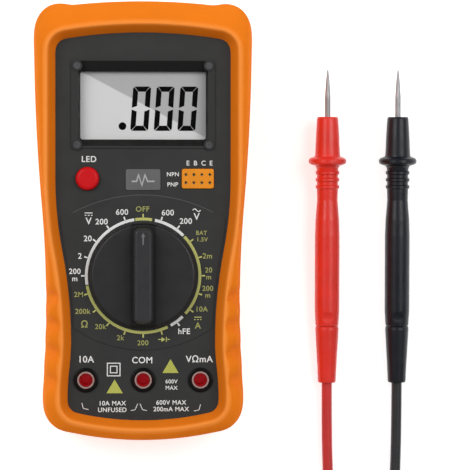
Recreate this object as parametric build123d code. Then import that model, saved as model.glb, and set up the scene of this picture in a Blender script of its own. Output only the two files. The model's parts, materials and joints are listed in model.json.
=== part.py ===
from build123d import *
from math import cos, pi, radians, sin, tan
import os

# Digital multimeter in a rubber holster, with two test leads lying to its right.
# Millimetres. The meter lies on its back: +Z out of its face, +Y to its top, +X to its right.
# The origin is on the plane that it rests on, under the middle of the meter.

# Overall sizes
HALF_LENGTH = 74.8
SILHOUETTE_Z = 16.0
RIM_Z = 41.0
FACE_Z = 36.0
BACK_WALL = 6.0

# Holster walls, in degrees from upright, and the rounded-over crown round the face
LOWER_DRAFT = 5.0
UPPER_DRAFT = 5.0
RIM_INNER_SLOPE = 27.0
RIM_GROWTH = 3.6
CROWN_SLOPE = 50.0
CROWN_FOOT_Z = 26.0

# Case
CASE_GROWTH = 2.0
CASE_WALL = 2.0
CASE_SPLIT_Z = 21.0
CASE_GAP = 0.1
UNDER_FACE_Z = FACE_Z - CASE_WALL
FLOOR_TOP_Z = BACK_WALL + CASE_WALL
CASE_SCREW_POINTS = [(-24.5, 58.5), (24.5, 58.5), (-9.5, -61.5), (9.5, -61.5)]
DOOR_SCREW_POINT = (0, 23.5)
POST_R = 3.25

# Face layout
DIAL_Y = -18.3
DIAL_PAD_H = 0.4
BUTTON_XY = (-18.5, 14.0)
HFE_XY = (18.2, 14.0)
PLATE_XY = (0.0, 13.7)
JACK_PITCH = 19.05
JACK_Y = -53.0
JACK_POINTS = [(-JACK_PITCH, JACK_Y), (0, JACK_Y), (JACK_PITCH, JACK_Y)]
JACK_BORE_R = 2.0
JACK_BOTTOM_Z = 21.4

# Display
DISPLAY_Y = 38.4
VIEW_W, VIEW_H = 41.8, 22.6
BEZEL_SCREW_POINTS = [(x, y) for x in (-21.95, 21.95) for y in (25.3, 51.6)]

# Circuit board
BOARD_Z = 25.8
BOARD_T = 1.6
BOARD_TOP_Z = BOARD_Z + BOARD_T
BOARD_SCREW_POINTS = [(-25.4, 5.0), (25.4, 5.0), (-20.6, -42.0), (20.6, -42.0)]

# Range selector
POSITIONS = 20
KNOB_R = 17.5
KNOB_Z = 36.7
KNOB_TOP_Z = 47.6
HUB_R = 7.3
ROTOR_R = 16.6
ROTOR_Z = 29.0
ROTOR_TOP_Z = 33.4
BALL_R = 1.4
BALL_Z = 31.3
LUG_X = 4.6

# Push button
CAP_R = 3.92
BUTTON_TRAVEL = 1.2
SWITCH_TOP_Z = 30.0
CAP_FLANGE_Z = SWITCH_TOP_Z + BUTTON_TRAVEL + 1.2

# Tilt stand
STAND_W = 34.0
PIVOT_Y = -10.0
PIVOT_Z = 2.1
STAND_END_Y = -60.0
STAND_PIN_R = 1.6
STAND_PIN_X = 19.5
RECESS_DEPTH = 4.0
RECESS_END_Y = -68.5

# Battery
BATTERY_X0 = -26.4
BATTERY_SIZE = (46.4, 26.5, 17.5)
BATTERY_Y = 41.5
BATTERY_Z0 = 8.1

# Test leads
CORD_D = 3.6
CORD_R = CORD_D / 2
STRAP = 0.7
PROBE_BACK_Y = -56.1
PROBE_BACK_Z = 3.25
PROBE_TILT = 2.45
COIL_Y = -115.0
PLUG_R = 4.6
LEADS = {
    "red": {"x": 63.75, "entry_x": 65.0, "side": -1, "coil_r": 22.8, "turns": 4.25, "tail": 24.0},
    "black": {"x": 88.1, "entry_x": 87.0, "side": 1, "coil_r": 22.3, "turns": 4.5, "tail": 15.0},
}

PARTS = {}


# Helpers

def rod(radius, z0, z1, x=0.0, y=0.0):
    """A cylinder along Z from z0 to z1."""
    return Pos(x, y, z0) * extrude(Circle(radius), z1 - z0)


def tube(outer, inner, z0, z1, x=0.0, y=0.0):
    return Pos(x, y, z0) * extrude(Circle(outer) - Circle(inner), z1 - z0)


def block(x0, x1, y0, y1, z0, z1):
    return Pos((x0 + x1) / 2, (y0 + y1) / 2, (z0 + z1) / 2) * Box(x1 - x0, y1 - y0, z1 - z0)


def rounded_block(x0, x1, y0, y1, z0, z1, radius):
    face = RectangleRounded(x1 - x0, y1 - y0, radius)
    return Pos((x0 + x1) / 2, (y0 + y1) / 2, z0) * extrude(face, z1 - z0)


def wire_along(path, radius):
    """A round wire swept along a path."""
    return sweep(Plane(origin=path @ 0, z_dir=path % 0) * Circle(radius), path=path)


def slab(face, z0, z1, draft=0.0):
    """The face pulled straight from z0 to z1; a positive draft in degrees narrows it on the way."""
    way = 1 if z1 > z0 else -1
    return Pos(0, 0, z0) * extrude(face, amount=abs(z1 - z0), dir=(0, 0, way), taper=draft)


def group(solids):
    return Compound(children=list(solids))


def both_sides(right_edges):
    """The face between a right-hand half outline and its mirror image."""
    half = Curve() + right_edges
    return make_face(half + mirror(half, about=Plane.YZ))


# Outlines

def holster_outline():
    top = TangentArc((0, HALF_LENGTH), (24.6, 73.4), tangent=(1, 0))
    lobe = TangentArc((37.25, 65), (24.6, 73.4), tangent=(0, 1))
    waist = (33.2, -27)
    upper = TangentArc(waist, (34.6, 5), tangent=(0, 1))
    shoulder = TangentArc((34.6, 5), (37.25, 65), tangent=upper % 1)
    lower = TangentArc(waist, (34.2, -55), tangent=(0, -1))
    hip = TangentArc((34.2, -55), (34.4, -62.5), tangent=lower % 1)
    corner = TangentArc((34.4, -62.5), (27.8, -71.4), tangent=(0, -1))
    bottom = TangentArc((0, -HALF_LENGTH), (27.8, -71.4), tangent=(1, 0))
    return both_sides([top, lobe, shoulder, upper, lower, hip, corner, bottom])


def face_outline():
    top = TangentArc((0, 62.5), (25.65, 60.38), tangent=(1, 0))
    corner = TangentArc((29.0, 56.4), (25.65, 60.38), tangent=(0, 1))
    side = Line((29.0, 56.4), (29.0, 14.0))
    taper = TangentArc((29.0, 14.0), (26.7, -10.0), tangent=(0, -1))
    waist = TangentArc((26.7, -10.0), (23.8, -40.0), tangent=taper % 1)
    flare = TangentArc((23.8, -40.0), (24.35, -49.0), tangent=(0, -1))
    hip = TangentArc((24.35, -49.0), (25.0, -60.0), tangent=flare % 1)
    foot = TangentArc((25.0, -60.0), (21.8, -63.85), tangent=(0, -1))
    bottom = TangentArc((0, -66.3), (21.8, -63.85), tangent=(1, 0))
    return both_sides([top, corner, side, taper, waist, flare, hip, foot, bottom])


def grown_face(growth):
    return offset(face_outline(), amount=growth, kind=Kind.ARC)


# Holster and tilt stand

def scallops():
    """Finger scallops cut across the sloping shoulders of the lower sides."""
    tools = []
    for y in (-24.9, -34.5, -44.1, -53.7):
        for side in (-1, 1):
            lie = Location((side * 32.8, y, 41.2), (0, side * -50, side * 12))
            tools.append(lie * Cylinder(4.2, 20))
    return tools


def make_holster():
    silhouette = holster_outline()
    rise = RIM_Z - SILHOUETTE_Z
    widening = slab(offset(silhouette, amount=rise * tan(radians(LOWER_DRAFT))), RIM_Z, 0, LOWER_DRAFT)
    narrowing = slab(offset(silhouette, amount=-rise * tan(radians(UPPER_DRAFT))), RIM_Z, 0, -UPPER_DRAFT)
    crown = slab(grown_face(RIM_GROWTH), RIM_Z, CROWN_FOOT_Z, -CROWN_SLOPE)
    crown += block(-HALF_LENGTH, HALF_LENGTH, -HALF_LENGTH, HALF_LENGTH, 0, CROWN_FOOT_Z)
    shell = widening & narrowing & crown
    shell -= slab(grown_face(CASE_GROWTH + CASE_GAP), BACK_WALL, FACE_Z)
    shell -= slab(face_outline(), FACE_Z, RIM_Z, -RIM_INNER_SLOPE)
    shell -= stand_recess()
    for tool in scallops():
        shell -= tool
    return shell


def stand_recess():
    """The pocket that the folded stand lies in, its finger notch and its two pivot sockets."""
    half = STAND_W / 2 + 0.5
    pocket = rounded_block(-half, half, RECESS_END_Y, PIVOT_Y + 4, -1, RECESS_DEPTH, 3)
    socket = Pos(0, PIVOT_Y, PIVOT_Z) * Rot(0, 90, 0) * Cylinder(STAND_PIN_R + 0.06, 2 * STAND_PIN_X + 0.8)
    return pocket + socket


def make_kickstand():
    half = STAND_W / 2
    thick = 1.45
    plate = rounded_block(-half, half, STAND_END_Y, PIVOT_Y, PIVOT_Z - thick, PIVOT_Z + thick, 4)
    plate += block(-half, half, PIVOT_Y - 8, PIVOT_Y, PIVOT_Z - thick, PIVOT_Z + thick)
    plate += Pos(0, PIVOT_Y, PIVOT_Z) * Rot(0, 90, 0) * Cylinder(thick, STAND_W)
    plate += Pos(0, PIVOT_Y, PIVOT_Z) * Rot(0, 90, 0) * Cylinder(STAND_PIN_R, 2 * STAND_PIN_X)
    for y in (-24, -32, -40):
        plate -= block(-11, 11, y - 1.5, y + 1.5, PIVOT_Z - thick - 1, PIVOT_Z - 0.6)
    plate -= Pos(0, STAND_END_Y - 4.5, PIVOT_Z) * Cylinder(8, 8)
    return plate


# Case

def boss(radius, z0, z1, point):
    """A round post, trimmed where it reaches past the case's inner wall."""
    return slab(face_outline(), z0, z1) & rod(radius, z0, z1, *point)


def make_front_case():
    shell = slab(grown_face(CASE_GROWTH), CASE_SPLIT_Z, FACE_Z)
    shell -= slab(face_outline(), CASE_SPLIT_Z, UNDER_FACE_Z)
    shell += slab(dial_pad(), FACE_Z - 0.2, FACE_Z + DIAL_PAD_H)
    shell += detent_ring()
    shell += tube(5.9, 5.05, 30.5, UNDER_FACE_Z, *BUTTON_XY)
    for point in CASE_SCREW_POINTS:
        shell += boss(POST_R, CASE_SPLIT_Z, UNDER_FACE_Z, point)
        shell -= rod(1.5, CASE_SPLIT_Z, UNDER_FACE_Z - 1, *point)
    for point in BOARD_SCREW_POINTS:
        shell += boss(2.4, BOARD_TOP_Z, UNDER_FACE_Z, point)
        shell -= rod(0.95, BOARD_TOP_Z, UNDER_FACE_Z - 1.5, *point)
    return shell - face_openings()


def dial_pad():
    """The slightly raised zone round the selector, between two shallow arcs."""
    upper = Pos(0, -41.1) * Circle(50)
    lower = Pos(0, -3.7) * Circle(39.3)
    return (grown_face(-0.8) & upper) & lower


def detent_ring():
    """A ring under the face with one notch for each position of the selector."""
    ring = tube(19.4, 17.6, 29.6, UNDER_FACE_Z, 0, DIAL_Y)
    for step in range(POSITIONS):
        angle = 2 * pi * step / POSITIONS
        ring -= rod(0.9, 29.6, UNDER_FACE_Z, 17.6 * sin(angle), DIAL_Y + 17.6 * cos(angle))
    return ring


def face_openings():
    z0, z1 = UNDER_FACE_Z - 0.5, FACE_Z + 2
    cuts = block(-22.6, 22.6, 24.3, 53.7, z0, z1)
    cuts += rod(HUB_R + 0.1, z0, z1, 0, DIAL_Y)
    cuts += rod(CAP_R + 0.08, z0, z1, *BUTTON_XY)
    cuts += Pos(*HFE_XY, z0) * extrude(RectangleRounded(10.9, 6.8, 0.8), z1 - z0)
    for point in JACK_POINTS:
        cuts += rod(3.65, z0, z1, *point)
    return cuts


def make_rear_case():
    shell = slab(grown_face(CASE_GROWTH), BACK_WALL, CASE_SPLIT_Z)
    shell -= slab(face_outline(), FLOOR_TOP_Z, CASE_SPLIT_Z)
    shell += block(-27, 21, 25.6, 26.8, FLOOR_TOP_Z, 19.5)
    shell += block(-10, 10, 18.5, 26.8, FLOOR_TOP_Z, FLOOR_TOP_Z + 2)
    shell += rod(3.2, FLOOR_TOP_Z, 17, *DOOR_SCREW_POINT)
    shell += tube(10.6, 9.2, FLOOR_TOP_Z, FLOOR_TOP_Z + 1.5, 0, -22)
    for point in CASE_SCREW_POINTS:
        shell += boss(POST_R, FLOOR_TOP_Z, CASE_SPLIT_Z, point)
        shell -= rod(2.75, BACK_WALL, 12, *point)
        shell -= rod(1.6, BACK_WALL, CASE_SPLIT_Z, *point)
    shell -= rod(1.3, BACK_WALL, 16, *DOOR_SCREW_POINT)
    return shell - slab(door_outline(0.0), BACK_WALL, FLOOR_TOP_Z)


def door_outline(gap):
    panel = Pos(0, BATTERY_Y) * RectangleRounded(54 - 2 * gap, 27.4 - 2 * gap, 1.5)
    tongue = Pos(0, 24.5) * Rectangle(12 - 2 * gap, 9 - 2 * gap)
    return panel + tongue


def make_battery_door():
    door = slab(door_outline(0.15), BACK_WALL, FLOOR_TOP_Z - 0.1)
    door -= rod(1.4, BACK_WALL, FLOOR_TOP_Z, *DOOR_SCREW_POINT)
    door -= rod(2.4, BACK_WALL, BACK_WALL + 1.1, *DOOR_SCREW_POINT)
    return door


def screw(point, head_z, head_r, head_h, shank_r, tip_z, up=True):
    """A cross-head screw along Z; its head's outer face is at head_z."""
    way = 1 if up else -1
    head = rod(head_r, min(head_z, head_z + way * head_h), max(head_z, head_z + way * head_h), *point)
    shank = rod(shank_r, min(head_z, tip_z), max(head_z, tip_z), *point)
    body = head + shank
    for turn in (0, 90):
        slot = Pos(point[0], point[1], head_z) * Rot(0, 0, turn) * Box(head_r * 1.2, head_r * 0.28, head_h)
        body -= slot
    return body


def make_case_screws():
    screws = [screw(p, 9.8, 2.6, 2.2, 1.4, 32.0) for p in CASE_SCREW_POINTS]
    screws.append(screw(DOOR_SCREW_POINT, BACK_WALL + 0.1, 2.25, 1.0, 1.2, 15.0))
    return group(screws)


def make_board_screws():
    return group(screw(p, BOARD_Z - 1.2, 1.9, 1.2, 0.85, 31.5) for p in BOARD_SCREW_POINTS)


# Display

def make_bezel():
    flange = rounded_block(-23.9, 23.9, 24.15, 53.75, FACE_Z, FACE_Z + 0.5, 1.2)
    frame = flange + rounded_block(-22.5, 22.5, 24.4, 53.6, 33.95, FACE_Z, 1.0)
    mouth = Pos(0, 39.05, FACE_Z + 0.5) * RectangleRounded(43.2, 28.3, 1.2)
    floor = Pos(0, DISPLAY_Y, 33.95) * RectangleRounded(VIEW_W, VIEW_H, 0.8)
    frame -= loft([floor, mouth])
    for point in BEZEL_SCREW_POINTS:
        frame += rod(1.75, FACE_Z, FACE_Z + 0.9, *point)
        frame += rod(1.75, 33.95, FACE_Z, *point) & block(-22.5, 22.5, 24.4, 53.6, 33.95, FACE_Z)
        frame -= rod(0.65, 33.0, FACE_Z + 1, *point)
        frame -= rod(1.2, FACE_Z + 0.3, FACE_Z + 1, *point)
    return frame


def make_bezel_screws():
    return group(screw(p, FACE_Z + 0.75, 1.15, 0.45, 0.6, 29.5, up=False) for p in BEZEL_SCREW_POINTS)


def make_lens():
    lens = rounded_block(-24.2, 24.2, 23.2, 54.6, 32.7, 33.9, 1.0)
    for point in BEZEL_SCREW_POINTS:
        lens -= rod(0.7, 32, 34, *point)
    return lens


def make_lcd_holder():
    holder = rounded_block(-25.4, 25.4, 21.4, 55.0, BOARD_TOP_Z, 32.6, 1.5)
    holder -= block(-21.15, 21.15, 23.85, 52.95, BOARD_TOP_Z, 32.6)
    for point in BEZEL_SCREW_POINTS:
        holder -= rod(0.65, 29, 33, *point)
    return holder


def make_display():
    PARTS["lcd_bezel"] = make_bezel()
    PARTS["bezel_screws"] = make_bezel_screws()
    PARTS["lcd_lens"] = make_lens()
    PARTS["lcd_holder"] = make_lcd_holder()
    PARTS["lcd_glass"] = block(-21.0, 21.0, 24.0, 52.8, 30.45, 32.4)
    PARTS["backlight_diffuser"] = rounded_block(-18.4, 20.8, 26.7, 50.1, 28.2, 30.3, 0.8)
    leds = [block(-21.1, -18.7, y - 1.75, y + 1.75, BOARD_TOP_Z, 30.0) for y in (32.4, 44.4)]
    PARTS["backlight_leds"] = group(leds)
    strips = [block(-20.4, 20.4, y - 1.0, y + 1.0, BOARD_TOP_Z, 30.4) for y in (25.2, 51.6)]
    PARTS["zebra_strips"] = group(strips)


# Selector

def make_knob():
    disc = rod(KNOB_R, KNOB_Z, 40.3, 0, DIAL_Y)
    disc = fillet(disc.edges().group_by(Axis.Z)[-1], 1.0)
    handle_plan = RectangleRounded(7.3, 32.6, 2.6)
    handle = Pos(0, DIAL_Y, 39.0) * extrude(handle_plan, amount=KNOB_TOP_Z - 39.0, taper=6)
    handle = fillet(handle.edges().group_by(Axis.Z)[-1], 0.8)
    knob = disc + handle
    knob += rod(HUB_R, ROTOR_TOP_Z, KNOB_Z, 0, DIAL_Y)
    knob -= rod(1.6, ROTOR_TOP_Z, 38.6, 0, DIAL_Y)
    for side in (-1, 1):
        knob += Pos(side * LUG_X, DIAL_Y, ROTOR_TOP_Z - 0.7) * Box(3, 2, 1.6)
    return knob


def make_rotor():
    rotor = rod(ROTOR_R, ROTOR_Z, ROTOR_TOP_Z, 0, DIAL_Y) - rod(1.6, ROTOR_Z, ROTOR_TOP_Z, 0, DIAL_Y)
    for side in (-1, 1):
        rotor -= Pos(side * LUG_X, DIAL_Y, ROTOR_TOP_Z - 0.8) * Box(3.1, 2.1, 1.6)
        rotor -= Pos(0, DIAL_Y, BALL_Z) * Rot(0, side * 90, 0) * rod(BALL_R + 0.06, 9.6, ROTOR_R + 1)
    return rotor


def detent_spring(side):
    wire = wire_along(Helix(pitch=0.9, height=4.6, radius=1.0), 0.17)
    return Pos(side * 9.85, DIAL_Y, BALL_Z) * Rot(0, side * 90, 0) * wire


def wiper(angle):
    """One spring contact under the rotor: a strip with two feet that run on the board."""
    strip = block(-4.5, 4.5, -0.9, 0.9, ROTOR_Z - 0.25, ROTOR_Z)
    for x in (-3.6, 3.6):
        strip += rod(0.55, BOARD_TOP_Z + 0.12, ROTOR_Z - 0.1, x, 0)
    return Pos(0, DIAL_Y, 0) * Rot(0, 0, angle) * Pos(0, 10.5, 0) * strip


def make_selector():
    PARTS["selector_knob"] = make_knob()
    PARTS["selector_rotor"] = make_rotor()
    PARTS["rotor_contacts"] = group(wiper(angle) for angle in (0, 120, 240))
    balls = [Pos(side * (ROTOR_R - 0.5), DIAL_Y, BALL_Z) * Sphere(BALL_R) for side in (-1, 1)]
    PARTS["detent_balls"] = group(balls)
    PARTS["detent_springs"] = group(detent_spring(side) for side in (-1, 1))
    PARTS["selector_screw"] = screw((0, DIAL_Y), ROTOR_Z - 1.1, 3.0, 1.1, 1.5, 38.2)


# Push button

def make_button():
    cap = rod(CAP_R, CAP_FLANGE_Z, 38.2, *BUTTON_XY)
    cap = fillet(cap.edges().group_by(Axis.Z)[-1], 1.3)
    cap += rod(4.9, CAP_FLANGE_Z, CAP_FLANGE_Z + 1.2, *BUTTON_XY)
    PARTS["button_cap"] = cap
    PARTS["switch_plunger"] = rod(1.45, 28.9, CAP_FLANGE_Z, *BUTTON_XY)
    wire = wire_along(Helix(pitch=0.75, height=2.0, radius=2.2), 0.18)
    PARTS["button_spring"] = Pos(*BUTTON_XY, SWITCH_TOP_Z + 0.2) * wire
    body = Pos(*BUTTON_XY, (BOARD_TOP_Z + SWITCH_TOP_Z) / 2) * Box(6.4, 6.4, SWITCH_TOP_Z - BOARD_TOP_Z)
    PARTS["switch_body"] = body - rod(1.55, BOARD_TOP_Z + 0.2, SWITCH_TOP_Z, *BUTTON_XY)


# Sockets in the face

def hfe_holes():
    return [(HFE_XY[0] + dx, HFE_XY[1] + dy) for dx in (-3.98, -1.33, 1.33, 3.98) for dy in (-1.35, 1.35)]


def make_hfe_socket():
    socket = Pos(*HFE_XY, 29.4) * extrude(RectangleRounded(10.7, 6.6, 0.7), 7.2)
    socket = fillet(socket.edges().group_by(Axis.Z)[-1], 0.3)
    for point in hfe_holes():
        socket -= rod(0.55, 29.4, 36.6, *point)
    PARTS["hfe_socket"] = socket
    PARTS["hfe_contacts"] = group(tube(0.5, 0.3, BOARD_TOP_Z + 0.1, 35.6, *point) for point in hfe_holes())


def make_jacks():
    collars, rims, throats, sleeves = [], [], [], []
    for x, y in JACK_POINTS:
        collar = rod(4.1, FACE_Z, FACE_Z + 0.8, x, y)
        collar = fillet(collar.edges().group_by(Axis.Z)[-1], 0.4)
        collar += rod(3.6, 33.0, FACE_Z, x, y)
        collars.append(collar - rod(3.15, 33.0, FACE_Z + 1, x, y))
        rims.append(tube(3.1, JACK_BORE_R, 35.9, FACE_Z + 0.6, x, y))
        throats.append(tube(3.1, JACK_BORE_R, 31.0, 35.9, x, y))
        throats.append(rod(2.8, JACK_BOTTOM_Z, JACK_BOTTOM_Z + 0.8, x, y))
        sleeves.append(tube(2.8, JACK_BORE_R, JACK_BOTTOM_Z + 0.8, 31.0, x, y))
    PARTS["jack_collars"] = group(collars)
    PARTS["jack_rims"] = group(rims)
    PARTS["jack_throats"] = group(throats)
    PARTS["jack_sleeves"] = group(sleeves)


# Circuit board and what is on it

def make_board():
    plan = grown_face(-0.6) & (Pos(0, -1.35) * Rectangle(70, 112.3))
    board = slab(plan, BOARD_Z, BOARD_TOP_Z)
    for x, y in JACK_POINTS:
        board -= rod(2.9, BOARD_Z - 1, BOARD_TOP_Z + 1, x, y)
    for point in BOARD_SCREW_POINTS:
        board -= rod(1.0, BOARD_Z - 1, BOARD_TOP_Z + 1, *point)
    return board


def make_chip():
    package = block(-5, 5, 3, 13, BOARD_Z - 2.0, BOARD_Z - 0.25)
    for step in range(11):
        along = -4.0 + 0.8 * step
        for side in (-1, 1):
            package += Pos(side * 5.5, 8 + along, BOARD_Z - 0.45) * Box(1.4, 0.35, 0.7)
            package += Pos(along, 8 + side * 5.5, BOARD_Z - 0.45) * Box(0.35, 1.4, 0.7)
    return package


def lying_rod(radius, length, x, y, z, turn=0):
    return Pos(x, y, z) * Rot(0, 0, turn) * Rot(0, 90, 0) * Cylinder(radius, length)


def make_board_parts():
    PARTS["circuit_board"] = make_board()
    PARTS["board_screws"] = make_board_screws()
    PARTS["converter_chip"] = make_chip()
    cans = [lying_rod(2.5, 7.5, x, 5, BOARD_Z - 2.6, 90) for x in (13, 19)]
    PARTS["capacitors"] = group(cans)
    rows = [lying_rod(1.05, 6.4, x, -4 - 3.4 * row, BOARD_Z - 1.2) for row in range(5) for x in (-15, 15)]
    PARTS["resistors"] = group(rows)
    PARTS["fuse_tube"] = lying_rod(2.4, 14.0, 0, -43, 22.5) - lying_rod(1.8, 14.0, 0, -43, 22.5)
    PARTS["fuse_caps"] = group(lying_rod(2.6, 5.0, x, -43, 22.5) for x in (-9.5, 9.5))
    clips = []
    for x in (-9.5, 9.5):
        clip = lying_rod(3.1, 3.6, x, -43, 22.5) - lying_rod(2.65, 4, x, -43, 22.5)
        clip -= block(x - 3, x + 3, -45.2, -40.8, 18, 21.5)
        clips.append(clip + block(x - 1.8, x + 1.8, -44, -42, 25.5, BOARD_Z))
    PARTS["fuse_clips"] = group(clips)
    corners = [(-14.2, -52, z) for z in (BOARD_Z, 21.9)] + [(-4.9, -52, z) for z in (21.9, BOARD_Z)]
    PARTS["shunt_wire"] = wire_along(FilletPolyline(*corners, radius=2.2), 0.75)
    disc = rod(10.0, FLOOR_TOP_Z + 1.5, FLOOR_TOP_Z + 1.9, 0, -22)
    PARTS["buzzer"] = disc + rod(7.0, FLOOR_TOP_Z + 1.9, FLOOR_TOP_Z + 2.2, 0, -22)


# Battery

def make_battery():
    length, width, height = BATTERY_SIZE
    y0 = BATTERY_Y - width / 2
    end = BATTERY_X0 + length
    can = block(BATTERY_X0, end, y0, y0 + width, BATTERY_Z0, BATTERY_Z0 + height)
    can = fillet(can.edges().filter_by(Axis.X), 1.5)
    middle = BATTERY_Z0 + height / 2
    for y, radius in ((BATTERY_Y - 6.35, 2.9), (BATTERY_Y + 6.35, 3.9)):
        can += lying_rod(radius, 2.2, end + 1.1, y, middle)
    PARTS["battery_9v"] = can
    snap = block(end + 2.2, end + 5.2, BATTERY_Y - 12, BATTERY_Y + 12, middle - 6, middle + 6)
    PARTS["battery_snap"] = fillet(snap.edges().filter_by(Axis.X), 1.5)
    wires = []
    for shift in (0.0, 2.6):
        route = FilletPolyline(
            (end + 3.7, BATTERY_Y - 12, middle - 2 + shift),
            (end + 3.7, BATTERY_Y - 16.5, middle - 2 + shift),
            (end - 1.0 - shift, BATTERY_Y - 19.0, middle + 3 + shift),
            (end - 1.0 - shift, BATTERY_Y - 19.0, BOARD_Z),
            radius=1.6,
        )
        wires.append(wire_along(route, 0.65))
    PARTS["battery_wires"] = group(wires)


# Test leads

def revolved(points):
    """A turned shape; points are (distance along the axis, radius)."""
    outline = Polyline([(0, points[0][0])] + [(r, s) for s, r in points] + [(0, points[-1][0])], close=True)
    return revolve(Plane.XZ * make_face(outline), Axis.Z)


def probe_place(x):
    """The probe's axis, from the end of its boot towards its tip, in its place on the table."""
    return Location((x, PROBE_BACK_Y, PROBE_BACK_Z)) * Rot(PROBE_TILT - 90, 0, 0)


def make_probe_handle():
    points = [(19.7, 3.75), (20.1, 4.0), (25.0, 4.28), (51.0, 4.28), (56.5, 4.1), (63.3, 3.55), (66.4, 3.65)]
    for rib in (67.9, 70.35, 72.8):
        points += [(rib - 0.75, 3.65), (rib - 0.45, 4.1), (rib + 0.45, 4.1), (rib + 0.75, 3.65)]
    points += [(74.6, 3.85), (75.2, 4.3), (75.6, 5.6), (75.9, 6.2), (76.4, 6.5), (77.2, 6.5), (77.7, 6.2)]
    points += [(78.0, 5.6), (78.4, 4.5), (79.0, 4.3), (85.0, 4.05), (91.5, 3.68), (92.1, 3.4)]
    handle = revolved(points)
    handle -= Pos(0, -7.65, 22.6) * Rot(0, 90, 0) * Cylinder(4.0, 10)
    return handle - rod(1.0, 60, 93)


def make_probe_boot():
    return revolved([(0, 2.9), (0.4, 3.1), (6.0, 3.35), (12.0, 3.7), (18.4, 4.05), (19.2, 4.0), (19.6, 3.75)])


def make_probe_tip():
    return revolved([(60.2, 0.97), (99.0, 0.97), (104.5, 0.6), (107.8, 0.25), (108.5, 0.1)])


def make_plug_body():
    """The banana plug's body: a tapered strain relief, a ribbed grip and a front collar."""
    points = [(0, 2.5), (0.6, 2.7)]
    for rib in range(4):
        start = 1.4 + 2.6 * rib
        crest = 2.95 + 0.3 * rib
        points += [(start, 2.6 + 0.2 * rib), (start + 0.5, crest), (start + 1.9, crest + 0.05)]
    points += [(12.6, 3.9), (14.0, 4.3)]
    for rib in range(5):
        start = 15.2 + 2.6 * rib
        points += [(start, 4.35), (start + 0.4, PLUG_R), (start + 1.6, PLUG_R), (start + 2.0, 4.35)]
    points += [(29.0, 4.35), (30.2, 4.1), (30.6, 3.6)]
    return revolved(points) - rod(1.25, 20, 31)


def make_plug_pin():
    points = [(20.2, 1.2), (30.6, 1.2), (30.7, 1.8), (32.0, 1.8), (34.5, 1.95), (39.0, 1.95), (42.0, 1.75)]
    points += [(43.4, 1.2), (43.8, 0.5)]
    pin = revolved(points)
    for turn in (0, 90):
        pin -= Pos(0, 0, 37.5) * Rot(0, 0, turn) * Box(5, 0.4, 9) - rod(0.7, 30, 44)
    return pin


def cord_path(points):
    """Straight runs joined by tangent arcs, each as large as its two runs allow."""
    vectors = [Vector(*point) for point in points]
    radii = []
    for before, here, after in zip(vectors, vectors[1:], vectors[2:]):
        first, second = here - before, after - here
        half_turn = radians(first.get_angle(second)) / 2
        radii.append(0.45 * min(first.length, second.length) / tan(half_turn))
    print("cord radii", [round(radius, 1) for radius in radii])
    if not radii:
        return Line(*points)
    return FilletPolyline(*points, radius=radii)


def cord_tube(points):
    path = cord_path(points)
    solid = wire_along(path, CORD_R)
    print("cord volume / section x length", round(solid.volume / (pi * CORD_R**2 * path.length), 4))
    print("cord length", round(path.length, 1))
    return solid


def coil_centre_x(lead):
    return lead["entry_x"] + lead["side"] * lead["coil_r"]


def coil_band(lead):
    """The inner and outer radii of the coiled cord: it winds in on the table and out again on top."""
    inner = lead["coil_r"] - CORD_D * lead["turns"] / 2 - CORD_R
    return inner, lead["coil_r"] + CORD_R + 0.1


def make_coil(lead):
    """The outer shape of the coiled cord, notched underneath for the tie's strap."""
    inner, outer = coil_band(lead)
    x = coil_centre_x(lead)
    ring = tube(outer, inner, 0, 2 * CORD_D, x, COIL_Y)
    ring = chamfer(ring.edges().filter_by(GeomType.CIRCLE), 0.9)
    return ring - block(x - 2.1, x + 2.1, COIL_Y + inner - 1.5, COIL_Y + outer + 1, -1, STRAP + 0.05)


def make_tie(lead):
    """A strap right round the coil, on the side towards the meter's top."""
    inner, outer = coil_band(lead)
    x = coil_centre_x(lead)
    y0, y1 = COIL_Y + inner - 0.3, COIL_Y + outer + 0.1
    z1 = 2 * CORD_D + 0.1
    loop = block(x - 2, x + 2, y0 - STRAP, y1 + STRAP, 0, z1 + STRAP)
    return loop - block(x - 3, x + 3, y0, y1, STRAP, z1)


def cord_routes(lead):
    """The cord's route from the probe to its coil, and from the coil to the plug."""
    x, entry_x, tail = lead["x"], lead["entry_x"], lead["tail"]
    centre_x = coil_centre_x(lead)
    run = [(x, PROBE_BACK_Y, PROBE_BACK_Z), (x, -80.0, 2.15)]
    run += [(entry_x, -100.0, CORD_R), (entry_x, COIL_Y, CORD_R)]
    top_z = CORD_D + CORD_R
    if lead["side"] < 0:
        exit_y = COIL_Y - lead["coil_r"]
        return run, [(centre_x, exit_y, top_z), (centre_x - tail, exit_y, PLUG_R)]
    exit_x = centre_x + lead["coil_r"]
    return run, [(exit_x, COIL_Y, top_z), (exit_x, COIL_Y + tail, PLUG_R)]


def plug_place(lead, tail):
    """The plug's axis, from the end of its strain relief towards its pin."""
    turn = Rot(0, -90, 0) if lead["side"] < 0 else Rot(-90, 0, 0)
    return Pos(*tail[-1]) * turn


def make_lead(name, lead):
    probe = probe_place(lead["x"])
    PARTS[name + "_probe_handle"] = probe * make_probe_handle()
    PARTS[name + "_probe_boot"] = probe * make_probe_boot()
    PARTS[name + "_probe_tip"] = probe * make_probe_tip()
    run, tail = cord_routes(lead)
    PARTS[name + "_cord"] = group([cord_tube(run), cord_tube(tail)])
    PARTS[name + "_coil"] = make_coil(lead)
    PARTS[name + "_coil_tie"] = make_tie(lead)
    plug = plug_place(lead, tail)
    PARTS[name + "_plug_body"] = plug * make_plug_body()
    PARTS[name + "_plug_pin"] = plug * make_plug_pin()


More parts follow.
